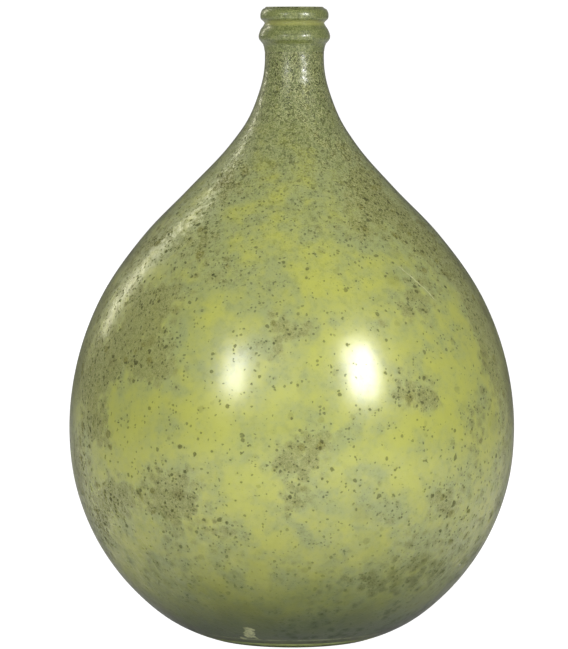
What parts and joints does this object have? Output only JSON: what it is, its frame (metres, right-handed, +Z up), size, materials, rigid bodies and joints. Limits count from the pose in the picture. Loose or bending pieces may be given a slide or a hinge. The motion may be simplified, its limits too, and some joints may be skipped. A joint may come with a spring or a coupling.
{
  "type": "glass carboy",
  "caption": "Large hand-blown green glass carboy: onion-shaped body, short neck with a beaded lip and collar, open mouth and a kicked-up base.",
  "frame": {"origin": "on the surface it stands on, under the middle of the body", "axes": "+Z up through the body to the mouth; the neck stands 2.3 mm off the body's axis towards +X; -Y is the front"},
  "size_m": [0.397, 0.397, 0.56],
  "materials": {
    "vessel_glass": "yellow-green glass, glossy outside, with a cloudy mottled film and dark droplets over it",
    "bead_glass": "deeper green glass, glossy, clouded with fine dark specks",
    "button_glass": "rough broken green glass with ground high spots"
  },
  "bodies": {
    "root": {"glass_vessel": "vessel_glass", "lip_ring": "bead_glass", "collar_ring": "bead_glass", "pontil_button": "button_glass"}
  },
  "joints": []
}
